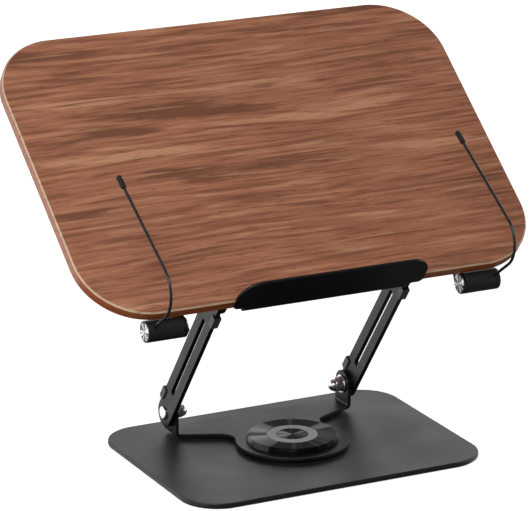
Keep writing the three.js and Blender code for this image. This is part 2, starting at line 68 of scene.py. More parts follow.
GAP = 0.3  # between pieces that fit into or onto each other
EYE = 10.5  # round end of every ear
HOLE = 3.3  # radius of every hinge bolt's hole
BASE = {"corner": 30, "edge": 0.8, "bore": HOLE + 1, "pad_inset": 1.5}
HUB = {"edge": 1.4, "ring": 19, "cap": 11.6}
SWIVEL = {"disc": 42, "slope": 0.434, "fillet": 12, "bend": 1.5, "sheet": 2.5}
ARM = {"reach": 140, "width": 21, "slot": 92.6, "slot_width": 3.8, "lean": math.radians(37)}
BUMPER = {"length": 11.5, "from_pivot": 13, "cheek": 1.2, "grip": 3.8, "proud": 1.9, "corner": 1.8}
BOARD = {"width": 363.2, "height": 249.6, "thick": 9.2, "corner": 50, "chamfer": 1.2}
BOARD["tilt"] = math.radians(38.2)
BRACKET = {"sheet": 2, "bend": 1.5, "front": 18.6, "drop": 14, "depth": 92, "half": 67, "corner": 12}
LIP = {"height": 23, "half": 76.3, "top": 17, "toe": 4, "foot": 5.5, "gap": 1.4, "bend": 2}
PIVOT = {"flat": 1.2, "flat_radius": 7, "spring": 1.6, "spring_radius": 6, "nut": 4, "across": 10}
DOME = {"radius": 4.7, "height": 4.4, "foot": 0.4, "well": 2}
SCREW = {"radius": 1.75, "head": 3.6, "height": 2, "crown": 1.3, "shank": 5, "cross": 1.9, "cross_half": 0.42}
BRACKET_SCREWS = {"x": 50, "near": 42, "far": 80}
HOLDER = {"ahead": 3.6, "below": 15.9, "ear": 1.8, "tab": 22, "near": 5, "far": 24, "inset": 4.5}
PIN = {"radius": 2.8, "head": 0.8, "end": 138}
BARREL = {"inner": 113.5, "outer": 142, "radius": 7.9, "cap": 6.9, "cap_depth": 2.5, "bore": 3.2}
WIRE = {"radius": 1.1, "x": 137.1, "bend": 20, "at": 6.6, "above": 20, "reach": 97, "tip": 30.2, "root": 4.5}
SLEEVE = {"bore": 1.35, "radius": 2, "start": -9.5, "end": 1.5, "grooves": 8, "pitch": 1.1, "depth": 0.35}

lower_pivot = middle("left_lower_friction_washer")
upper_pivot = middle("left_upper_friction_washer")
friction_radius = (high("left_lower_friction_washer").y - low("left_lower_friction_washer").y) / 2
ear_outer = high("swivel_bracket").x
arm_inner, arm_outer = low("right_arm").x, high("right_arm").x
sheet_top = -BOARD["thick"] - GAP
sheet_floor = sheet_top - BRACKET["sheet"]
pivot_below_face = BOARD["thick"] + BRACKET["drop"]

up_slope = Vector((0, math.cos(BOARD["tilt"]), math.sin(BOARD["tilt"])))
out_of_face = Vector((0, -math.sin(BOARD["tilt"]), math.cos(BOARD["tilt"])))
board_origin = Vector((0, upper_pivot.y, upper_pivot.z)) - BRACKET["front"] * up_slope
board_origin += pivot_below_face * out_of_face

STAND = Matrix.Identity(4)
ON_BOARD = Matrix.Translation(board_origin * MM) @ Matrix.Rotation(BOARD["tilt"], 4, "X")
ON_ARMS = Matrix.Translation(Vector((0, lower_pivot.y, lower_pivot.z)) * MM)
ON_ARMS = ON_ARMS @ Matrix.Rotation(ARM["lean"], 4, "X")
ALONG_X = Matrix(((0, 0, 1, 0), (1, 0, 0, 0), (0, 1, 0, 0), (0, 0, 0, 1)))  # outline as (y, z), run along x


# ---- Outlines: lists of (x, y) points, anticlockwise round the material and clockwise round a hole ----


def circle_turn(segments):
    """Angles once round a circle."""
    return [2 * math.pi * i / segments for i in range(segments)]


def arc(x, y, radius, start, end, steps=12):
    turn = [math.radians(start + (end - start) * i / steps) for i in range(steps + 1)]
    return [(x + radius * math.cos(a), y + radius * math.sin(a)) for a in turn]


def rounded(corners, steps=10):
    """An outline from (x, y, radius) corners."""
    points = []
    for i, (x, y, radius) in enumerate(corners):
        here = Vector((x, y))
        back = (Vector(corners[i - 1][:2]) - here).normalized()
        ahead = (Vector(corners[(i + 1) % len(corners)][:2]) - here).normalized()
        if not radius:
            points.append((x, y))
            continue
        half = back.angle(ahead) / 2
        start = here + back * radius / math.tan(half)
        centre = here + (back + ahead).normalized() * radius / math.sin(half)
        sweep = math.pi - 2 * half
        turn = sweep if back.cross(ahead) < 0 else -sweep
        spoke = start - centre
        for k in range(steps + 1):
            a = turn * k / steps
            c, s = math.cos(a), math.sin(a)
            x, y = centre.x + spoke.x * c - spoke.y * s, centre.y + spoke.x * s + spoke.y * c
            points.append((x, y))
    return points


def rectangle(half, y0, y1, radius=0, steps=10):
    return rounded([(-half, y0, radius), (half, y0, radius), (half, y1, radius), (-half, y1, radius)], steps)


def round_hole(x, y, radius, steps=32):
    return arc(x, y, radius, 0, -360, steps)[:-1]


def round_disc(radius, steps=96):
    return arc(0, 0, radius, 0, 360, steps)[:-1]


def inset(points, amount):
    """The outline moved into the material by an amount."""
    moved = []
    for i, point in enumerate(points):
        here = Vector(point)
        before = (here - Vector(points[i - 1])).normalized()
        after = (Vector(points[(i + 1) % len(points)]) - here).normalized()
        sides = Vector((-before.y, before.x)) + Vector((-after.y, after.x))
        moved.append(here + sides * amount / (1 + before.dot(after)))
    return moved


# ---- Solids ----


def soft_edges(floor, top, radius, steps=3):
    """(inset, height) pairs of a slab with rounded edges."""
    turn = [math.pi / 2 * i / steps for i in range(steps + 1)]
    rise = [(radius * (1 - math.sin(a)), floor + radius * (1 - math.cos(a))) for a in turn]
    return rise + [(r, top - (z - floor)) for r, z in reversed(rise)]


def slab(loops, profile, bands=None):
    """Outlines made solid through (inset, height) pairs.
    bands gives each step of the profile its material."""
    bm = bmesh.new()
    for points in loops:
        rings = [[bm.verts.new((*p, z)) for p in inset(points, amount)] for amount, z in profile]
        for step, (a, b) in enumerate(zip(rings, rings[1:])):
            for i in range(len(points)):
                face = bm.faces.new((a[i - 1], a[i], b[i], b[i - 1]))
                face.material_index = bands[step] if bands else 0
    ends = [e for e in bm.edges if e.is_boundary]
    for z in (profile[0][1], profile[-1][1]):
        ring = [e for e in ends if all(abs(v.co.z - z) < 1e-4 for v in e.verts)]
        bmesh.ops.triangle_fill(bm, use_beauty=True, edges=ring)
    return bm


def circle(bm, radius, z, segments):
    return [bm.verts.new((radius * math.cos(a), radius * math.sin(a), z)) for a in circle_turn(segments)]


def lathe(profile, segments=64):
    """A solid turned about z from (radius, height) pairs; it closes on the axis or on itself."""
    bm = bmesh.new()
    rings = []
    for radius, z in profile:
        if radius < 1e-6:
            rings.append([bm.verts.new((0, 0, z))] * segments)
        else:
            rings.append(circle(bm, radius, z, segments))
    closed = profile[0][0] > 1e-6
    for a, b in zip(rings, rings[1:] + rings[:1] if closed else rings[1:]):
        for i in range(segments):
            corners = dict.fromkeys((a[i - 1], a[i], b[i], b[i - 1]))
            if len(corners) > 2:
                bm.faces.new(list(corners))
    return bm


def soft_ring(inner, outer, floor, top, edge=0.3, segments=64):
    """A washer with its edges broken."""
    profile = [(inner + edge, floor), (outer - edge, floor), (outer, floor + edge), (outer, top - edge)]
    profile += [(outer - edge, top), (inner + edge, top), (inner, top - edge), (inner, floor + edge)]
    return lathe(profile, segments)


def tube(points, radius, sides=24):
    """A round wire along points, with half-round ends."""
    bm = bmesh.new()
    rings = []
    normal = Vector((1, 0, 0))
    dome = [math.pi / 2 * i / 5 for i in range(1, 5)]
    first, last = (points[1] - points[0]).normalized(), (points[-1] - points[-2]).normalized()
    turn = circle_turn(sides)
    stations = [(points[0] - first * radius * math.cos(a), first, radius * math.sin(a)) for a in dome]
    for i, point in enumerate(points):
        heading = (points[min(i + 1, len(points) - 1)] - points[max(i - 1, 0)]).normalized()
        stations.append((point, heading, radius))
    for a in reversed(dome):
        stations.append((points[-1] + last * radius * math.cos(a), last, radius * math.sin(a)))
    for centre, heading, size in stations:
        other = heading.cross(normal).normalized()
        spokes = [normal * math.cos(a) + other * math.sin(a) for a in turn]
        rings.append([bm.verts.new(centre + size * spoke) for spoke in spokes])
    for a, b in zip(rings, rings[1:]):
        for k in range(sides):
            bm.faces.new((a[k - 1], a[k], b[k], b[k - 1]))
    bm.faces.new(rings[0])
    bm.faces.new(list(reversed(rings[-1])))
    return bm


def shifted(bm, matrix):
    bmesh.ops.transform(bm, matrix=matrix, verts=bm.verts)
    return bm


def merged(*solids):
    """Solids joined into one mesh; each keeps its own closed surface."""
    whole = bmesh.new()
    for bm in solids:
        mesh = bpy.data.meshes.new("part")
        bm.to_mesh(mesh)
        bm.free()
        whole.from_mesh(mesh)
        bpy.data.meshes.remove(mesh)
    return whole


def cut(bm, axis, places):
    """Splits the faces across planes, so that they can bend there."""
    for place in places:
        point, normal = Vector(), Vector()
        point[axis], normal[axis] = place, 1
        everything = [*bm.verts, *bm.edges, *bm.faces]
        bmesh.ops.bisect_plane(bm, geom=everything, dist=1e-5, plane_co=point, plane_no=normal)


def folded(run, height, start, inside, sheet, up):
    """Where a point of a flat sheet goes when the sheet folds a quarter turn from start on.
    run is its place across the fold, and height is its height over the middle of the sheet."""
    middle_radius = inside + sheet / 2
    length = middle_radius * math.pi / 2
    if run <= start:
        return run, height
    radius = middle_radius - up * height
    if run <= start + length:
        a = (run - start) / middle_radius
        return start + radius * math.sin(a), up * (middle_radius - radius * math.cos(a))
    return start + radius, up * (middle_radius + run - start - length)


def bend_places(start, inside, sheet, steps=10):
    length = (inside + sheet / 2) * math.pi / 2
    return [start + length * i / steps for i in range(steps + 1)]


def straight_length(reach, inside, sheet):
    """How far a flange runs along the flat sheet to end at a height over the middle of the sheet."""
    return (inside + sheet / 2) * (math.pi / 2 - 1) + reach


# ---- Materials ----


class Shader:
    """A node material. Places are in metres in the piece's own frame."""

    def __init__(self, name, color, roughness, metallic=0.0, **inputs):
        self.material = bpy.data.materials.new(name)
        self.material.use_nodes = True
        self.tree = self.material.node_tree
        self.bsdf = self.tree.nodes["Principled BSDF"]
        self.bsdf.inputs["Base Color"].default_value = (*color, 1)
        self.bsdf.inputs["Roughness"].default_value = roughness
        self.bsdf.inputs["Metallic"].default_value = metallic
        for key, value in inputs.items():
            self.bsdf.inputs[key.replace("_", " ").title().replace("Ior", "IOR")].default_value = value
        self.place = self.node("ShaderNodeTexCoord").outputs["Object"]

    def node(self, kind, **settings):
        made = self.tree.nodes.new(kind)
        for key, value in settings.items():
            setattr(made, key, value)
        return made

    def link(self, output, target):
        self.tree.links.new(output, target)

    def stretched(self, scale, place=None):
        mapping = self.node("ShaderNodeMapping")
        self.link(place or self.place, mapping.inputs["Vector"])
        mapping.inputs["Scale"].default_value = scale
        return mapping.outputs["Vector"]

    def noise(self, scale, detail=3.0, roughness=0.5, place=None, distortion=0.0):
        made = self.node("ShaderNodeTexNoise")
        self.link(place or self.place, made.inputs["Vector"])
        made.inputs["Scale"].default_value = scale
        made.inputs["Detail"].default_value = detail
        made.inputs["Roughness"].default_value = roughness
        made.inputs["Distortion"].default_value = distortion
        return made.outputs["Fac"]

    def spread(self, value, old, new):
        made = self.node("ShaderNodeMapRange")
        self.link(value, made.inputs["Value"])
        for key, number in zip(("From Min", "From Max", "To Min", "To Max"), (*old, *new)):
            made.inputs[key].default_value = number
        return made.outputs["Result"]

    def ramp(self, value, stops):
        made = self.node("ShaderNodeValToRGB")
        self.link(value, made.inputs["Fac"])
        elements = made.color_ramp.elements
        while len(elements) < len(stops):
            elements.new(0.5)
        for element, (position, color) in zip(elements, stops):
            element.position = position
            element.color = (*color, 1)
        return made.outputs["Color"]

    def mix(self, factor, a, b):
        made = self.node("ShaderNodeMix", data_type="RGBA")
        for socket, value in ((made.inputs[0], factor), (made.inputs[6], a), (made.inputs[7], b)):
            if isinstance(value, (int, float)):
                socket.default_value = value
            elif isinstance(value, tuple):
                socket.default_value = (*value, 1)
            else:
                self.link(value, socket)
        return made.outputs[2]

    def set(self, socket, output):
        self.link(output, self.bsdf.inputs[socket])

    def bump(self, height, depth, strength):
        made = self.node("ShaderNodeBump")
        made.inputs["Distance"].default_value = depth
        made.inputs["Strength"].default_value = strength
        self.link(height, made.inputs["Height"])
        self.set("Normal", made.outputs["Normal"])

    def round_grain(self, axis):
        tangent = self.node("ShaderNodeTangent", direction_type="RADIAL", axis=axis)
        self.set("Tangent", tangent.outputs["Tangent"])


def powder_coat(name, color, roughness, shine):
    """Baked powder paint: a fine orange-peel skin whose gloss and tone drift a little."""
    shader = Shader(name, color, roughness, specular_ior_level=shine)
    peel = shader.noise(1400, 2)
    drift = shader.noise(18, 4)
    tone = tuple(c * 1.35 + 0.002 for c in color)
    shader.set("Base Color", shader.mix(shader.spread(drift, (0.35, 0.65), (0, 1)), color, tone))
    shader.set("Roughness", shader.spread(drift, (0.3, 0.7), (roughness - 0.05, roughness + 0.06)))
    shader.bump(peel, 0.00006, 0.5)
    return shader.material


def bright_metal(name, color, roughness):
    """Plated steel: faint polishing marks and small changes of gloss."""
    shader = Shader(name, color, roughness, 1.0)
    marks = shader.noise(420, 5, 0.6)
    shader.set("Roughness", shader.spread(marks, (0.3, 0.75), (roughness * 0.7, roughness * 1.5)))
    tone = tuple(c * 0.88 for c in color)
    shader.set("Base Color", shader.mix(shader.spread(marks, (0.4, 0.8), (0, 1)), color, tone))
    shader.bump(shader.noise(900, 2), 0.00001, 0.4)
    return shader.material


def spun(name, color, roughness, axis, metallic, fans, drift):
    """Turned on a lathe: anisotropic shading along the fine rings, plus painted highlight fans round the
    centre, a fixed pattern in the base colour (metal) or in the reflection strength (black cover).
    fans is how often the painted fans' brightness changes around the centre, and drift picks where."""
    shader = Shader(name, color, roughness, metallic, anisotropic=1.0, anisotropic_rotation=0.25)
    shader.round_grain(axis)
    centred = shader.node("ShaderNodeVectorMath", operation="SUBTRACT")
    shader.link(shader.node("ShaderNodeTexCoord").outputs["Generated"], centred.inputs[0])
    centred.inputs[1].default_value = (0.5, 0.5, 0.5)
    flat = shader.stretched((0, 1, 1) if axis == "X" else (1, 1, 0), centred.outputs["Vector"])
    around = shader.node("ShaderNodeVectorMath", operation="NORMALIZE")
    shader.link(flat, around.inputs[0])
    moved = shader.node("ShaderNodeVectorMath", operation="ADD")
    shader.link(around.outputs["Vector"], moved.inputs[0])
    moved.inputs[1].default_value = (drift, drift, drift)
    # painted highlight: a fixed pattern of bright and dark fans round the centre, which turns with the piece
    painted_fan = shader.noise(fans, 2, 0.5, moved.outputs["Vector"])
    if metallic:
        # painted shade: the dark sectors between the painted highlight fans of the chrome
        dark = tuple(c * 0.12 for c in color)
        shader.set("Base Color", shader.mix(shader.spread(painted_fan, (0.44, 0.52), (0, 1)), dark, color))
    else:
        # painted highlight: the black cover's reflection strength is painted in fans round the centre
        shader.set("Specular IOR Level", shader.spread(painted_fan, (0.47, 0.56), (0.04, 1.0)))
    return shader.material


def moulded(name, color, roughness, grain, depth):
    """Plastic or rubber from a mould with a fine spark-eroded grain."""
    shader = Shader(name, color, roughness)
    speck = shader.noise(grain, 4, 0.6)
    tone = tuple(c * 1.5 + 0.003 for c in color)
    shader.set("Base Color", shader.mix(shader.spread(speck, (0.45, 0.75), (0, 1)), color, tone))
    shader.set("Roughness", shader.spread(speck, (0.3, 0.7), (roughness - 0.06, roughness + 0.06)))
    shader.bump(speck, depth, 0.6)
    return shader.material


def walnut(name, dark, mid, light, gloss, shine):
    """Walnut veneer with its grain along x: broad bands, fine wavy lines and short open pores."""
    shader = Shader(name, mid, gloss, specular_ior_level=shine)
    warp = shader.noise(9, 2, place=shader.stretched((0.35, 1, 1)))
    lift = shader.node("ShaderNodeCombineXYZ")
    shader.link(shader.spread(warp, (0, 1), (-0.009, 0.009)), lift.inputs["Y"])
    offset = shader.node("ShaderNodeVectorMath", operation="ADD")
    shader.link(lift.outputs["Vector"], offset.inputs[0])
    shader.link(shader.place, offset.inputs[1])
    wavy = offset.outputs["Vector"]

    broad = shader.noise(50, 3, 0.55, shader.stretched((0.1, 1, 1), wavy))
    lines = shader.noise(330, 4, 0.62, shader.stretched((0.04, 1, 1), wavy), 0.5)
    fibre = shader.noise(1500, 3, 0.6, shader.stretched((0.03, 1, 1), wavy))
    pores = shader.noise(900, 2, 0.5, shader.stretched((0.07, 1, 1)))

    tone = shader.ramp(broad, [(0.36, dark), (0.44, mid), (0.56, mid), (0.64, light)])
    tone = shader.mix(shader.spread(lines, (0.5, 0.62), (0, 0.75)), tone, dark)
    tone = shader.mix(shader.spread(lines, (0.47, 0.36), (0, 0.6)), tone, light)
    tone = shader.mix(shader.spread(fibre, (0.5, 0.7), (0, 0.3)), tone, dark)
    deep = tuple(c * 0.45 for c in dark)
    tone = shader.mix(shader.spread(pores, (0.62, 0.7), (0, 0.6)), tone, deep)
    shader.set("Base Color", tone)
    shader.set("Roughness", shader.spread(lines, (0.3, 0.7), (gloss - 0.05, gloss + 0.08)))
    shader.bump(shader.mix(0.5, fibre, pores), 0.00008, 0.35)
    return shader.material


# Dark, middle and light tone of each wood.
WALNUT = ((0.2, 0.078, 0.043), (0.4, 0.158, 0.088), (0.56, 0.27, 0.155))
BARE_WOOD = ((0.5, 0.35, 0.22), (0.62, 0.45, 0.3), (0.7, 0.53, 0.37))
STAINED_WOOD = ((0.28, 0.06, 0.015), (0.38, 0.092, 0.026), (0.47, 0.14, 0.045))

PAINT = {
    "base_steel": powder_coat("base powder coat", (0.008, 0.008, 0.0082), 0.42, 0.5),
    "black_steel": powder_coat("black powder coat", (0.004, 0.004, 0.0042), 0.4, 0.33),
    # the black spun cover of the hub carries painted highlight fans round its centre
    "spun_black": spun("black spun cover with painted fans", (0.004, 0.004, 0.0042), 0.34, "Z", 0.0, 1.7, 4.2),
    "satin_ring": moulded("grey ring", (0.24, 0.24, 0.24), 0.5, 1200, 0.00002),
    "chrome": bright_metal("chrome plate", (0.93, 0.93, 0.94), 0.24),
    # the turned chrome of the pins and barrel caps carries painted highlight fans round their centres
    "turned_chrome": spun("turned chrome", (0.92, 0.92, 0.93), 0.36, "X", 1.0, 2.6, 7.3),
    "zinc": bright_metal("zinc plate", (0.56, 0.57, 0.58), 0.3),
    "black_plastic": moulded("black plastic", (0.008, 0.008, 0.0085), 0.42, 1600, 0.00003),
    "coated_wire": moulded("wire coat", (0.006, 0.006, 0.0065), 0.28, 500, 0.00001),
    "rubber": moulded("rubber", (0.07, 0.07, 0.071), 0.46, 1100, 0.00004),
    "tip_rubber": moulded("soft tip rubber", (0.012, 0.012, 0.0125), 0.6, 1500, 0.00004),
    "walnut": walnut("walnut veneer", *WALNUT, 0.5, 0.15),
    "bare": walnut("bare edge line", *BARE_WOOD, 0.5, 0.3),
    "edge": walnut("stained edge", *STAINED_WOOD, 0.36, 0.6),
}


# ---- Pieces ----


def finished_mesh(name, bm):
    """The solid as a mesh in metres, its faces turned outwards."""
    bmesh.ops.recalc_face_normals(bm, faces=bm.faces)
    bmesh.ops.scale(bm, vec=(MM, MM, MM), verts=bm.verts)
    mesh = bpy.data.meshes.new(name)
    bm.to_mesh(mesh)
    bm.free()
    return mesh


def add_object(name, data, matrix):
    made = bpy.data.objects.new(name, data)
    bpy.context.scene.collection.objects.link(made)
    made.matrix_world = matrix
    return made


def piece(name, bm, body, frame_matrix, materials, sharp=32):
    """A finished piece in place of the CAD node that it is named after."""
    bmesh.ops.remove_doubles(bm, verts=bm.verts, dist=1e-5)
    mesh = finished_mesh(name, bm)
    materials = [materials] if isinstance(materials, str) else materials
    for key in materials:
        mesh.materials.append(PAINT[key])
    mesh.shade_smooth()
    mesh.set_sharp_from_angle(angle=math.radians(sharp))
    made = add_object(name + "_look", mesh, frame_matrix)
    smooth = made.modifiers.new("even shading", "WEIGHTED_NORMAL")
    smooth.keep_sharp = True
    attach(made, body)
    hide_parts(name)


def on_x(side, y=0, z=0):
    """From a piece drawn along z to the same piece along x at +X or -X."""
    return Matrix.Translation((0, y, z)) @ Matrix.Diagonal((side, 1, 1, 1)) @ ALONG_X


def make_base():
    bottom, top = low("base_plate"), high("base_plate")
    outline = rectangle(top.x, bottom.y, top.y, BASE["corner"], 28)
    bolt_hole = round_hole(0, 0, BASE["bore"], 48)
    plate = slab([outline, bolt_hole], soft_edges(bottom.z, top.z, BASE["edge"], 4))
    piece("base_plate", plate, "base", STAND, "base_steel")

    bottom, top = low("base_pad"), high("base_pad")
    outline = rectangle(top.x, bottom.y, top.y, BASE["corner"] - BASE["pad_inset"], 28)
    piece("base_pad", slab([outline], soft_edges(bottom.z, top.z, 0.3)), "base", STAND, "rubber")

    bottom, top = low("swivel_slip_washer"), high("swivel_slip_washer")
    washer = soft_ring(BASE["bore"], top.x, bottom.z, top.z, 0.3, 128)
    piece("swivel_slip_washer", washer, "base", STAND, "black_plastic")

    for node in ("swivel_bolt", "swivel_thrust_washer", "swivel_nut"):
        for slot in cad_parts[node].material_slots:
            slot.material = PAINT["zinc"]


def swivel_outline():
    """The swivel bracket before its ears are folded up: a disc with a wing out to each ear."""
    reach = ear_outer - SWIVEL["sheet"] - SWIVEL["bend"]
    front, back = lower_pivot.y - EYE, lower_pivot.y + EYE
    along = Vector((1, SWIVEL["slope"])).normalized()
    forward = Vector((along.y, -along.x))
    offset = SWIVEL["fillet"] + Vector((reach, front)).dot(forward)
    run = math.sqrt((SWIVEL["disc"] + SWIVEL["fillet"]) ** 2 - offset**2)
    centre = forward * offset + along * run
    edge = math.degrees(math.atan2(-forward.y, -forward.x))
    disc = math.degrees(math.atan2(centre.y, centre.x))
    sheet_middle = (low("swivel_bracket").z + high("swivel_slip_washer").z + SWIVEL["sheet"]) / 2
    tip = reach + straight_length(lower_pivot.z - sheet_middle, SWIVEL["bend"], SWIVEL["sheet"])

    right = [*arc(centre.x, centre.y, SWIVEL["fillet"], 180 + disc, edge, 12), (reach, front)]
    right += arc(tip, lower_pivot.y, EYE, -90, 90, 32)
    right.append((reach, back))
    left = [(-x, y) for x, y in reversed(right)]
    bottom = arc(0, 0, SWIVEL["disc"], 180 - disc, 360 + disc, 96)[1:-1]
    holes = [round_hole(side * tip, lower_pivot.y, HOLE) for side in (-1, 1)]
    return [bottom + right + left, round_hole(0, 0, BASE["bore"])] + holes, reach, sheet_middle


def make_swivel():
    outline, reach, sheet_middle = swivel_outline()
    half = SWIVEL["sheet"] / 2
    bm = slab(outline, soft_edges(-half, half, 0.45))
    places = bend_places(reach, SWIVEL["bend"], SWIVEL["sheet"])
    cut(bm, 0, places + [-p for p in places])
    for vert in bm.verts:
        side = math.copysign(1, vert.co.x)
        x, z = folded(abs(vert.co.x), vert.co.z, reach, SWIVEL["bend"], SWIVEL["sheet"], 1)
        vert.co.x, vert.co.z = side * x, sheet_middle + z
    piece("swivel_bracket", bm, "swivel", STAND, "black_steel")

    floor, top, radius = low("swivel_hub").z, high("swivel_hub").z, high("swivel_hub").x
    well = low("hub_ring").z
    ring, edge = HUB["ring"] + GAP, HUB["edge"]
    cover = [(0, floor + 1), (radius - 1, floor + 1), (radius - 1, floor), (radius - 0.2, floor)]
    cover += [(radius, floor + 0.2), (radius, top - edge - 0.3), (radius - 0.15, top - edge)]
    cover += [(radius - edge, top - 0.12), (radius - edge - 0.4, top)]
    cover += [(ring + 0.25, top), (ring, top - 0.2), (ring, well), (0, well)]
    piece("swivel_hub", lathe(cover, 160), "swivel", STAND, "spun_black", sharp=24)

    band = soft_ring(HUB["cap"] + GAP, HUB["ring"], well, top, 0.15, 128)
    piece("hub_ring", band, "swivel", STAND, "satin_ring")
    cap = HUB["cap"]
    button = [(0, well), (cap, well), (cap, top - 0.2), (cap - 0.2, top), (cap - 1, top)]
    button += [(cap - 1.3, top - 0.2), (0, top - 0.2)]
    piece("hub_cap", lathe(button, 96), "swivel", STAND, "spun_black")


def hexagon_nut(across, floor, top, hole, segments=96, layers=10):
    """A six-sided nut whose corners are turned off at both ends."""
    flat = across / 2
    corner = flat / math.cos(math.pi / 6)
    bm = bmesh.new()
    rings = [circle(bm, hole, floor, segments)]
    for layer in range(layers + 1):
        z = floor + (top - floor) * layer / layers
        cap = flat * 0.96 + min(z - floor, top - z) * 1.9
        ring = []
        for a in circle_turn(segments):
            side = flat / math.cos((a + math.pi / 6) % (math.pi / 3) - math.pi / 6)
            r = min(side, cap, corner - 0.1)
            ring.append(bm.verts.new((r * math.cos(a), r * math.sin(a), z)))
        rings.append(ring)
    rings.append(circle(bm, hole, top, segments))
    for a, b in zip(rings, rings[1:] + rings[:1]):
        for i in range(segments):
            bm.faces.new((a[i - 1], a[i], b[i], b[i - 1]))
    return bm


def make_pivot(label, side, body, ear_face, at):
    """Bolt head outside the arm, plastic washer between arm and ear, and washers and dome nut inside."""
    place = on_x(side, at.y, at.z)
    inner, outer = low(label + "_bolt").x, high(label + "_bolt").x
    tip, face = (inner, outer) if side > 0 else (-outer, -inner)
    radius = (high(label + "_bolt").y - low(label + "_bolt").y) / 2
    shank = HOLE - GAP
    bolt = [(0, tip), (shank - 0.4, tip), (shank, tip + 0.4), (shank, arm_outer)]
    bolt += [(radius - 0.3, arm_outer), (radius, arm_outer + 0.3)]
    bolt += [(radius, face - 0.9), (radius - 0.25, face - 0.45), (radius - 0.8, face - 0.15)]
    bolt += [(radius - 1.6, face - 0.03), (radius - 2.4, face), (0, face)]
    piece(label + "_bolt", shifted(lathe(bolt), place), body, STAND, "chrome", sharp=40)

    washer = soft_ring(HOLE, friction_radius, ear_outer, arm_inner, 0.25)
    piece(label + "_friction_washer", shifted(washer, place), body, STAND, "black_plastic")

    flat_floor = ear_face - PIVOT["flat"]
    spring_floor = flat_floor - PIVOT["spring"]
    nut_floor = spring_floor - PIVOT["nut"]
    washer = soft_ring(HOLE, PIVOT["flat_radius"], flat_floor, ear_face, 0.25)
    piece(label + "_flat_washer", shifted(washer, place), body, STAND, "chrome")

    spring = spring_washer(HOLE, PIVOT["spring_radius"], spring_floor, flat_floor)
    piece(label + "_spring_washer", shifted(spring, place), body, STAND, "zinc")

    hexagon = hexagon_nut(PIVOT["across"], nut_floor, spring_floor, HOLE)
    radius, height, steps = DOME["radius"], DOME["height"], 12
    dome = [(0, nut_floor - height)]
    for i in range(1, steps + 1):
        a = math.pi / 2 * i / steps
        dome.append((radius * math.sin(a), nut_floor - height * math.cos(a)))
    foot, well = nut_floor + DOME["foot"], nut_floor - DOME["well"]
    dome += [(radius, foot), (HOLE, foot), (HOLE, well), (0, well)]
    nut = merged(hexagon, lathe(dome))
    piece(label + "_dome_nut", shifted(nut, place), body, STAND, "chrome")


def spring_washer(inner, outer, floor, top, steps=72):
    """A split washer: one turn of square wire, its ends a little apart along the axis."""
    bm = bmesh.new()
    rings = []
    thick = (top - floor) * 0.86
    for i in range(steps + 1):
        a = math.radians(4 + 352 * i / steps)
        z = floor + (top - floor - thick) * i / steps
        corners = [(inner, z), (outer, z), (outer, z + thick), (inner, z + thick)]
        rings.append([bm.verts.new((r * math.cos(a), r * math.sin(a), h)) for r, h in corners])
    for a, b in zip(rings, rings[1:]):
        for k in range(4):
            bm.faces.new((a[k - 1], a[k], b[k], b[k - 1]))
    bm.faces.new(rings[0])
    bm.faces.new(list(reversed(rings[-1])))
    return bm


def make_arms():
    half, reach = ARM["width"] / 2, ARM["reach"]
    outline = arc(0, reach, half, 0, 180, 40) + arc(0, 0, half, 180, 360, 40)
    end = (ARM["slot"] - ARM["slot_width"]) / 2
    slot = arc(0, reach / 2 + end, ARM["slot_width"] / 2, 180, 0, 16)
    slot += arc(0, reach / 2 - end, ARM["slot_width"] / 2, 0, -180, 16)
    for name, side in SIDES:
        loops = [outline, slot, round_hole(0, 0, HOLE), round_hole(0, reach, HOLE)]
        bar = slab(loops, soft_edges(arm_inner, arm_outer, 0.5))
        piece(name + "_arm", shifted(bar, on_x(side)), "arms", ON_ARMS, "black_steel")
        make_bumper(name + "_rear_bumper", side, 1, BUMPER["from_pivot"])
        make_bumper(name + "_front_bumper", side, -1, reach - BUMPER["from_pivot"])


def make_bumper(name, side, rear, at):
    """A rubber channel pushed over one edge of an arm: two cheeks, and a pad proud of the edge."""
    edge, long = ARM["width"] / 2, BUMPER["length"] / 2
    near, far, corner = edge - BUMPER["grip"], edge + BUMPER["proud"], BUMPER["corner"]
    cheek = rounded([(near, -long, corner), (far, -long, 0.9), (far, long, 0.9), (near, long, corner)], 6)
    outside = slab([cheek], soft_edges(arm_inner - BUMPER["cheek"], arm_outer + BUMPER["cheek"], 0.5))
    left, right, end = near - 2, edge + GAP, long + 2
    inside = [(left, -end), (right, -end), (right, end), (left, end)]
    groove = slab([inside], [(0, arm_inner - GAP), (0, arm_outer + GAP)])
    turn = Matrix.Translation((0, at, 0)) @ Matrix.Diagonal((rear, 1, 1, 1))
    channel = subtract(outside, groove)
    piece(name, shifted(channel, on_x(side) @ turn), "arms", ON_ARMS, "rubber")


def subtract(solid, tool):
    """The first solid less the second, through an exact boolean."""
    objects = []
    for bm in (solid, tool):
        bmesh.ops.recalc_face_normals(bm, faces=bm.faces)
        mesh = bpy.data.meshes.new("work")
        bm.to_mesh(mesh)
        bm.free()
        objects.append(add_object("work", mesh, STAND))
    taking = objects[0].modifiers.new("cut", "BOOLEAN")
    taking.operation, taking.solver, taking.object = "DIFFERENCE", "EXACT", objects[1]
    left = objects[0].evaluated_get(bpy.context.evaluated_depsgraph_get())
    result = bmesh.new()
    result.from_mesh(left.to_mesh())
    for made in objects:
        mesh = made.data
        bpy.data.objects.remove(made)
        bpy.data.meshes.remove(mesh)
    return result


def bracket_screw_places():
    near, far, x = BRACKET_SCREWS["near"], BRACKET_SCREWS["far"], BRACKET_SCREWS["x"]
    return [(-x, near), (x, near), (-x, far), (x, far)]


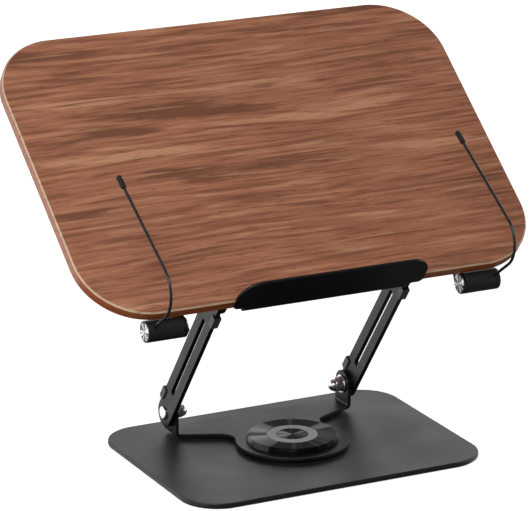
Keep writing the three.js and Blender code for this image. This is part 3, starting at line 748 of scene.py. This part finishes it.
def make_board_bracket():
    """The plate under the board, its two ears and the ledge in front, drawn flat and then folded."""
    sheet, bend, half_sheet = BRACKET["sheet"], BRACKET["bend"], BRACKET["sheet"] / 2
    sheet_middle = (sheet_top + sheet_floor) / 2
    reach = ear_outer - sheet - bend
    drop = sheet_middle + pivot_below_face
    ear = reach + straight_length(drop, bend, sheet)
    front, half = BRACKET["front"], BRACKET["half"]

    fold = LIP["gap"] - LIP["bend"]  # the ledge starts to fold up this far ahead of the board's edge

    def flat(height):
        return -(fold + straight_length(height - sheet_middle, LIP["bend"], sheet))

    foot, top = flat(-LIP["foot"]), flat(LIP["height"])
    wide, depth = LIP["half"], BRACKET["depth"]
    ledge = [(0, top, 0), (wide, top, LIP["top"]), (wide, foot, LIP["toe"]), (half, foot, 0.8)]
    ledge += [(half, front - EYE, 1.5), (ear, front - EYE, 0)]
    plate = [(ear, front + EYE, 0), (half, front + EYE, 1.5), (half, depth, BRACKET["corner"]), (0, depth, 0)]
    right = rounded(ledge, 14)[1:-1] + arc(ear, front, EYE, -90, 90, 32) + rounded(plate, 12)[1:-1]
    outline = right + [(-x, y) for x, y in reversed(right)]
    holes = [round_hole(side * ear, front, HOLE) for side in (-1, 1)]
    holes += [round_hole(x, y, SCREW["radius"] + GAP, 20) for x, y in bracket_screw_places()]

    bm = slab([outline, *holes], soft_edges(-half_sheet, half_sheet, 0.4))
    sides = bend_places(reach, bend, sheet)
    cut(bm, 0, sides + [-p for p in sides])
    cut(bm, 1, [-p for p in bend_places(fold, LIP["bend"], sheet)])
    for vert in bm.verts:
        x, y, h = vert.co
        if -y > fold:
            run, z = folded(-y, h, fold, LIP["bend"], sheet, 1)
            vert.co = (x, -run, sheet_middle + z)
        else:
            run, z = folded(abs(x), h, reach, bend, sheet, -1)
            vert.co = (math.copysign(run, x), y, sheet_middle + z)
    piece("board_bracket", bm, "board", ON_BOARD, "black_steel")
    for i, (x, y) in enumerate(bracket_screw_places()):
        make_screw(f"bracket_screw_{i + 1}", x, y, sheet_floor)


def make_screw(name, x, y, face):
    """A pan-head screw from below, with a cross recess in its head."""
    top, radius, inner = face - GAP, SCREW["head"], SCREW["head"] - 0.5
    bottom = top - SCREW["height"]
    arm, half = SCREW["cross"], SCREW["cross_half"]
    cross = [(half, half), (half, arm), (-half, arm), (-half, half), (-arm, half), (-arm, -half)]
    cross += [(-half, -half), (-half, -arm), (half, -arm), (half, -half), (arm, -half), (arm, half)]
    crown = slab([round_disc(radius, 40), cross], soft_edges(bottom, bottom + SCREW["crown"], 0.5))
    root = bottom + SCREW["crown"] - 0.1
    shank = [(0, root), (inner, root), (inner, top), (SCREW["radius"], top)]
    shank += [(SCREW["radius"], top + SCREW["shank"]), (0, top + SCREW["shank"] + 1)]
    screw = merged(crown, lathe(shank, 40))
    piece(name, shifted(screw, Matrix.Translation((x, y, 0))), "board", ON_BOARD, "zinc", sharp=40)


def make_board():
    thick, chamfer = BOARD["thick"], BOARD["chamfer"]
    outline = rectangle(BOARD["width"] / 2, 0, BOARD["height"], BOARD["corner"], 40)
    soft = 0.25
    profile = [(chamfer + soft, -thick), (chamfer, -thick + 0.1)]
    profile += [(soft, -thick + chamfer), (0, -thick + chamfer + soft)]
    bands = [0, 1, 2, 2, 2, 1, 0]
    profile += [(r, -thick - z) for r, z in reversed(profile)]
    board = slab([outline], profile, bands)
    piece("board", board, "board", ON_BOARD, ["walnut", "bare", "edge"], sharp=60)


def holder_screw_places():
    x = BARREL["inner"] - HOLDER["tab"] / 2 - HOLDER["ear"]
    return [(x, HOLDER["near"] + HOLDER["inset"]), (x, HOLDER["far"] - HOLDER["inset"])]


def make_holder(name, side):
    y, z = -HOLDER["ahead"], -HOLDER["below"]
    place = on_x(side, y, z)
    ear_face = BARREL["inner"] - GAP
    ear_back = ear_face - HOLDER["ear"]
    make_holder_bracket(name, side, ear_back, ear_face)

    head, cap = ear_back - PIN["head"], BARREL["cap"]
    pin = [(0, head), (cap - 0.4, head), (cap, head + 0.4), (cap, ear_back)]
    pin += [(PIN["radius"], ear_back), (PIN["radius"], PIN["end"]), (0, PIN["end"])]
    piece(name + "_holder_pin", shifted(lathe(pin), place), "board", ON_BOARD, "turned_chrome")

    inner, outer, radius, bore = BARREL["inner"], BARREL["outer"], BARREL["radius"], BARREL["bore"]
    rim, floor = cap + 0.15, outer - BARREL["cap_depth"]
    edge, half_way = 0.6, 0.18  # of the rounding, across its middle
    shell = [(bore, inner), (radius - edge, inner), (radius - half_way, inner + half_way)]
    shell += [(radius, inner + edge), (radius, outer - edge), (radius - half_way, outer - half_way)]
    shell += [(radius - edge, outer), (rim + 0.1, outer), (rim, outer - 0.1), (rim, floor), (bore, floor)]
    body = name + "_holder"
    piece(name + "_barrel", shifted(lathe(shell, 96), place), body, ON_BOARD, "black_plastic")

    button = [(0, floor), (cap, floor), (cap, outer - 0.3), (cap - 0.3, outer), (cap - 0.9, outer)]
    button += [(cap - 1.1, outer - 0.12), (0.9, outer - 0.3), (0, outer - 0.3)]
    button = shifted(lathe(button), place)
    piece(name + "_barrel_cap", button, body, ON_BOARD, "turned_chrome", 12)
    make_wire(name, side, body)


def make_holder_bracket(name, side, ear_back, ear_face):
    """A tab screwed under the board, and an ear that takes the pin."""
    y, z = -HOLDER["ahead"], -HOLDER["below"]
    radius, top = BARREL["radius"], sheet_top
    reach = Vector((HOLDER["far"] - y, top - z))
    touch = math.degrees(math.atan2(reach.y, reach.x) - math.acos(radius / reach.length))
    side_view = arc(y, z, radius, 180, 360 + touch, 40) + [(HOLDER["far"], top), (y - radius, top)]
    hole = round_hole(y, z, PIN["radius"] + GAP)
    ear = shifted(slab([side_view, hole], soft_edges(ear_back, ear_face, 0.4)), on_x(1))
    inner, outer, near, far = ear_back - HOLDER["tab"], ear_face - 0.4, HOLDER["near"], HOLDER["far"]
    tab = rounded([(inner, near, 3), (outer, near, 0), (outer, far, 0), (inner, far, 3)], 8)
    holes = [round_hole(*place, SCREW["radius"] + GAP, 20) for place in holder_screw_places()]
    plate = slab([tab, *holes], soft_edges(top - HOLDER["ear"], top, 0.35))
    bracket = shifted(merged(ear, plate), Matrix.Diagonal((side, 1, 1, 1)))
    piece(name + "_holder_bracket", bracket, "board", ON_BOARD, "black_steel")
    for i, (x, v) in enumerate(holder_screw_places()):
        make_screw(f"{name}_holder_screw_{i + 1}", side * x, v, top - HOLDER["ear"])


def wire_route():
    """Points of a wire in its plane as (y, z): out of the barrel, round the bend and straight to the tip."""
    axis = Vector((-HOLDER["ahead"], -HOLDER["below"]))
    centre = Vector((WIRE["at"], WIRE["above"]))
    tip = Vector((WIRE["reach"], WIRE["tip"]))
    out, back = centre - axis, tip - centre
    leave = math.atan2(out.y, out.x) + math.asin(WIRE["bend"] / out.length)
    first = leave + math.pi / 2
    last = math.atan2(back.y, back.x) + math.acos(WIRE["bend"] / back.length)
    turn = [first + (last - first) * i / 48 for i in range(49)]
    bend = [centre + WIRE["bend"] * Vector((math.cos(a), math.sin(a))) for a in turn]
    root = axis + WIRE["root"] * Vector((math.cos(leave), math.sin(leave)))
    return [root, *bend, tip]


def make_wire(name, side, body):
    route = wire_route()
    x = side * WIRE["x"]
    points = [Vector((x, *p)) for p in route]
    piece(name + "_wire", tube(points, WIRE["radius"]), body, ON_BOARD, "coated_wire", sharp=50)

    tip, heading = route[-1], (route[-1] - route[-2]).normalized()
    along = Matrix(((1, 0, 0), (0, heading.y, heading.x), (0, -heading.x, heading.y))).to_4x4()
    sleeve = shifted(lathe(sleeve_profile(), 32), Matrix.Translation((x, tip.x, tip.y)) @ along)
    piece(name + "_wire_tip", sleeve, body, ON_BOARD, "tip_rubber", 25)


def sleeve_profile():
    """The rubber on a wire's tip as (radius, height over the wire's end): grooved, with a round nose."""
    bore, fat, start, end = SLEEVE["bore"], SLEEVE["radius"], SLEEVE["start"], SLEEVE["end"]
    thin = fat - SLEEVE["depth"]
    profile = [(bore, start), (fat - 0.3, start), (fat, start + 0.3)]
    for i in range(1, SLEEVE["grooves"] + 1):
        z = start + i * SLEEVE["pitch"]
        profile += [(fat, z - 0.3), (thin, z - 0.12), (thin, z + 0.12), (fat, z + 0.3)]
    profile += [(fat, end - 0.9), (fat - 0.15, end - 0.45), (fat - 0.5, end - 0.15), (fat - 1, end), (0, end)]
    return profile + [(0, GAP), (bore, GAP)]


make_base()
make_swivel()
upper_ear = ear_outer - BRACKET["sheet"]
for label, direction in SIDES:
    make_pivot(label + "_lower", direction, "swivel", ear_outer - SWIVEL["sheet"], lower_pivot)
    make_pivot(label + "_upper", direction, "upper_pivots", upper_ear, upper_pivot)
make_arms()
make_board_bracket()
make_board()
for label, direction in SIDES:
    make_holder(label, direction)


# ---- Stage: pale floor, soft light and the camera ----


def make_floor():
    """A pale slab that only the camera sees, so that its glow doesn't light the stand."""
    mesh = finished_mesh("floor", slab([rectangle(6000, -6000, 6000, 500)], [(0, -20), (0, -0.2)]))
    floor = add_object("floor", mesh, STAND)
    white = (1, 1, 1, 1)
    shader = Shader("pale floor", (0.9, 0.9, 0.9), 0.9, emission_color=white, emission_strength=0.7)
    mesh.materials.append(shader.material)
    floor.visible_diffuse = False
    floor.visible_glossy = False


def looking(place, heading):
    """Where a light or camera stands and which way it faces."""
    return Matrix.Translation(place) @ heading.to_track_quat("-Z", "Y").to_matrix().to_4x4()


def make_light(name, place, target, width, height, radiance):
    """A soft panel that gives the stated brightness, whatever its size."""
    light = bpy.data.lights.new(name, "AREA")
    light.shape = "RECTANGLE"
    light.size, light.size_y = width, height
    light.energy = radiance * math.pi * width * height
    made = add_object(name, light, looking(Vector(place), Vector(target) - Vector(place)))
    made.visible_camera = False


def make_world():
    """White to the camera, and a dim even fill to everything else."""
    world = bpy.data.worlds.new("studio")
    world.use_nodes = True
    bpy.context.scene.world = world
    tree = world.node_tree
    background = tree.nodes["Background"]
    background.inputs["Color"].default_value = (1, 1, 1, 1)
    path = tree.nodes.new("ShaderNodeLightPath")
    strength = tree.nodes.new("ShaderNodeMapRange")
    strength.inputs["To Min"].default_value = 0.12
    strength.inputs["To Max"].default_value = 1.0
    tree.links.new(path.outputs["Is Camera Ray"], strength.inputs["Value"])
    tree.links.new(strength.outputs["Result"], background.inputs["Strength"])


def make_camera():
    camera = bpy.data.cameras.new("camera")
    camera.lens = 228.9
    camera.sensor_width = 36
    place = Vector((-1.07007, -2.08735, 0.86234))
    heading = Vector((0.42919, 0.85523, -0.29048))
    bpy.context.scene.camera = add_object("camera", camera, looking(place, heading))
    bpy.context.scene.view_settings.view_transform = "Standard"


make_floor()
make_light("key panel", (-0.75, -0.75, 1.0), (0, 0.04, 0.2), 0.9, 0.8, 5.0)
make_light("top panel", (0.1, 0.3, 2.4), (0, 0, 0.1), 2.0, 1.6, 0.5)
make_light("back panel", (1.3, 2.6, 0.5), (0, 0, 0.1), 3.6, 2.4, 1.1)
make_light("left panel", (-2.0, 2.0, 0.2), (0, 0, 0.15), 3.6, 2.8, 1.4)
make_light("right panel", (2.6, -0.2, 0.3), (0, 0, 0.15), 3.8, 2.4, 1.4)
make_light("near left panel", (-2.6, -0.5, 0.3), (0, 0, 0.15), 2.4, 2.2, 1.2)
make_world()
make_camera()
